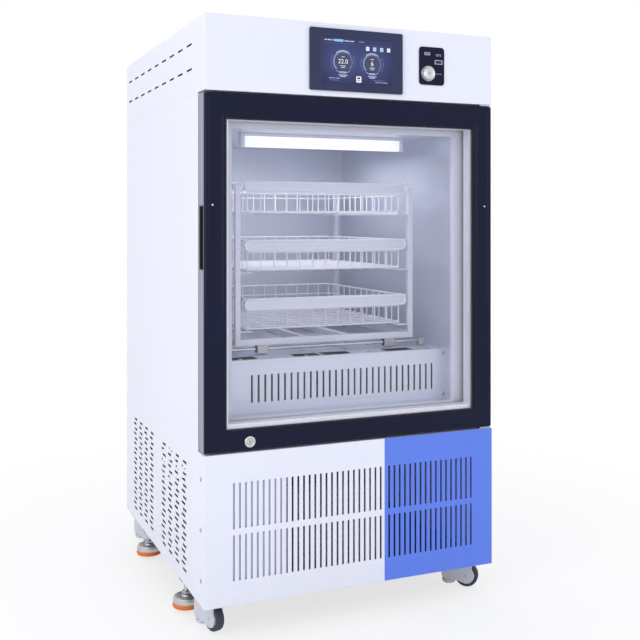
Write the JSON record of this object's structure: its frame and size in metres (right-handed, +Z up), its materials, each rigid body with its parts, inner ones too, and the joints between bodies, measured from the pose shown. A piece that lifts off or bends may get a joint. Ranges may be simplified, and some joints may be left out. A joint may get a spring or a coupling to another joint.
{
  "type": "platelet agitator",
  "caption": "Floor-standing incubated platelet agitator with a glazed door, shaking wire baskets, a touch panel and casters.",
  "frame": {"origin": "centre of the overall footprint, on the floor under the casters", "axes": "+X to the right of the unit seen from its door side, +Y from the door to the back, +Z up"},
  "size_m": [0.647, 0.693, 1.165],
  "materials": {
    "white_paint": "satin powder coat",
    "blue_paint": "satin powder coat",
    "navy_gloss": "gloss",
    "grey_profile": "satin",
    "black_plastic": "matte",
    "clear_glass": "clear",
    "spacer_metal": "satin",
    "seal_rubber": "matte",
    "stainless": "brushed",
    "frame_plastic": "satin",
    "foam": "foam",
    "screen_glass": "gloss",
    "bright_steel": "polished",
    "aluminium": "satin",
    "grey_cast": "satin",
    "wheel_tread": "matte",
    "foot_grey": "satin",
    "foot_ring_rubber": "matte",
    "lamp_lens": "satin",
    "black_metal": "matte",
    "motor_metal": "satin",
    "grey_port": "matte"
  },
  "bodies": {
    "cabinet": {"left_side_panel": "white_paint", "right_side_panel": "white_paint", "rear_panel": "white_paint", "door_ledges": "white_paint", "mains_inlet": "black_plastic", "front_grille_white": "white_paint", "front_grille_blue": "blue_paint", "insulation": "foam", "inner_liner": "stainless", "chamber_frame": "frame_plastic", "top_cover": "white_paint", "screen_bezel": "navy_gloss", "touch_screen": "screen_glass", "switch_plate": "navy_gloss", "service_port": "grey_port", "base_plate": "black_metal", "caster_plates": "bright_steel", "foot_arms": "black_metal", "door_hinges": "bright_steel", "duct_cover": "stainless", "shaker_tray": "stainless", "interior_lamp": "lamp_lens", "evaporator": "aluminium", "condenser": "black_metal", "compressor": "black_metal", "fan_motors": "motor_metal", "guide_shafts": "bright_steel", "shaft_supports": "aluminium", "drive_motor": "motor_metal"},
    "door": {"door_frame": "navy_gloss", "door_profile": "grey_profile", "door_grip": "black_plastic", "outer_glass": "clear_glass", "inner_glass": "clear_glass", "glass_spacer": "spacer_metal", "door_gasket": "seal_rubber"},
    "lock": {"door_lock": "bright_steel"},
    "power_button": {"power_button": "bright_steel"},
    "carriage": {"carriage_frame": "stainless", "basket_runners": "stainless", "bearing_blocks": "aluminium", "yoke_plate": "stainless"},
    "crank": {"crank": "bright_steel"},
    "basket_lower": {"basket_lower": "stainless"},
    "basket_middle": {"basket_middle": "stainless"},
    "basket_upper": {"basket_upper": "stainless"},
    "condenser_fan": {"condenser_fan": "black_plastic"},
    "evaporator_fan": {"evaporator_fan": "black_plastic"},
    "caster_front_left": {"caster_front_left": "grey_cast"},
    "wheel_front_left": {"wheel_front_left": "wheel_tread"},
    "levelling_foot_front_left": {"levelling_foot_front_left": "foot_grey"},
    "caster_front_right": {"caster_front_right": "grey_cast"},
    "wheel_front_right": {"wheel_front_right": "wheel_tread"},
    "levelling_foot_front_right": {"levelling_foot_front_right": "foot_grey"},
    "caster_rear_left": {"caster_rear_left": "grey_cast"},
    "wheel_rear_left": {"wheel_rear_left": "wheel_tread"},
    "levelling_foot_rear_left": {"levelling_foot_rear_left": "foot_grey"},
    "caster_rear_right": {"caster_rear_right": "grey_cast"},
    "wheel_rear_right": {"wheel_rear_right": "wheel_tread"},
    "levelling_foot_rear_right": {"levelling_foot_rear_right": "foot_grey"}
  },
  "joints": [
    {"name": "door_hinge", "type": "hinge", "parent": "cabinet", "child": "door", "pos_m": [0.298, -0.33, 0.6855], "axis": [0, 0, 1], "range_deg": [0, 110]},
    {"name": "lock_turn", "type": "hinge", "parent": "door", "child": "lock", "pos_m": [-0.2215, -0.34, 0.3676], "axis": [0, 1, 0], "range_deg": [0, 90]},
    {"name": "button_press", "type": "slide", "parent": "cabinet", "child": "power_button", "axis": [0, 1, 0], "range_m": [0, 0.0025], "stiffness_N_per_m": 400},
    {"name": "carriage_slide", "type": "slide", "parent": "cabinet", "child": "carriage", "axis": [1, 0, 0], "range_m": [-0.025, 0.025]},
    {"name": "crank_turn", "type": "hinge", "parent": "cabinet", "child": "crank", "pos_m": [0, 0.0045, 0.515], "axis": [0, 0, -1], "range_deg": [-90, 90]},
    {"name": "basket_lower_slide", "type": "slide", "parent": "carriage", "child": "basket_lower", "axis": [0, -1, 0], "range_m": [0, 0.1]},
    {"name": "basket_middle_slide", "type": "slide", "parent": "carriage", "child": "basket_middle", "axis": [0, -1, 0], "range_m": [0, 0.1]},
    {"name": "basket_upper_slide", "type": "slide", "parent": "carriage", "child": "basket_upper", "axis": [0, -1, 0], "range_m": [0, 0.1]},
    {"name": "condenser_fan_spin", "type": "hinge", "parent": "cabinet", "child": "condenser_fan", "pos_m": [-0.07, -0.2595, 0.163], "axis": [0, 1, 0], "continuous": true},
    {"name": "evaporator_fan_spin", "type": "hinge", "parent": "cabinet", "child": "evaporator_fan", "pos_m": [0, -0.2183, 0.443], "axis": [0, 1, 0], "continuous": true},
    {"name": "caster_front_left_swivel", "type": "hinge", "parent": "cabinet", "child": "caster_front_left", "pos_m": [-0.278, -0.2705, 0.06], "axis": [0, 0, 1], "continuous": true},
    {"name": "wheel_front_left_spin", "type": "hinge", "parent": "caster_front_left", "child": "wheel_front_left", "pos_m": [-0.27391, -0.28389, 0.025], "axis": [0.9563, 0.2924, 0], "continuous": true},
    {"name": "caster_front_right_swivel", "type": "hinge", "parent": "cabinet", "child": "caster_front_right", "pos_m": [0.278, -0.2705, 0.06], "axis": [0, 0, 1], "continuous": true},
    {"name": "wheel_front_right_spin", "type": "hinge", "parent": "caster_front_right", "child": "wheel_front_right", "pos_m": [0.28873, -0.2795, 0.025], "axis": [0.6428, 0.766, 0], "continuous": true},
    {"name": "caster_rear_left_swivel", "type": "hinge", "parent": "cabinet", "child": "caster_rear_left", "pos_m": [-0.278, 0.2705, 0.06], "axis": [0, 0, 1], "continuous": true},
    {"name": "wheel_rear_left_spin", "type": "hinge", "parent": "caster_rear_left", "child": "wheel_rear_left", "pos_m": [-0.27391, 0.25711, 0.025], "axis": [0.9563, 0.2924, 0], "continuous": true},
    {"name": "caster_rear_right_swivel", "type": "hinge", "parent": "cabinet", "child": "caster_rear_right", "pos_m": [0.278, 0.2705, 0.06], "axis": [0, 0, 1], "continuous": true},
    {"name": "wheel_rear_right_spin", "type": "hinge", "parent": "caster_rear_right", "child": "wheel_rear_right", "pos_m": [0.285, 0.28262, 0.025], "axis": [-0.866, 0.5, 0], "continuous": true},
    {"name": "foot_front_left_adjust", "type": "slide", "parent": "cabinet", "child": "levelling_foot_front_left", "axis": [0, 0, 1], "range_m": [-0.007, 0.015]},
    {"name": "foot_front_right_adjust", "type": "slide", "parent": "cabinet", "child": "levelling_foot_front_right", "axis": [0, 0, 1], "range_m": [-0.007, 0.015]},
    {"name": "foot_rear_left_adjust", "type": "slide", "parent": "cabinet", "child": "levelling_foot_rear_left", "axis": [0, 0, 1], "range_m": [-0.007, 0.015]},
    {"name": "foot_rear_right_adjust", "type": "slide", "parent": "cabinet", "child": "levelling_foot_rear_right", "axis": [0, 0, 1], "range_m": [-0.007, 0.015]}
  ],
  "couplings": [
    {"joint": "crank_turn", "follows": "carriage_slide", "rad_per_m": 62.8}
  ]
}
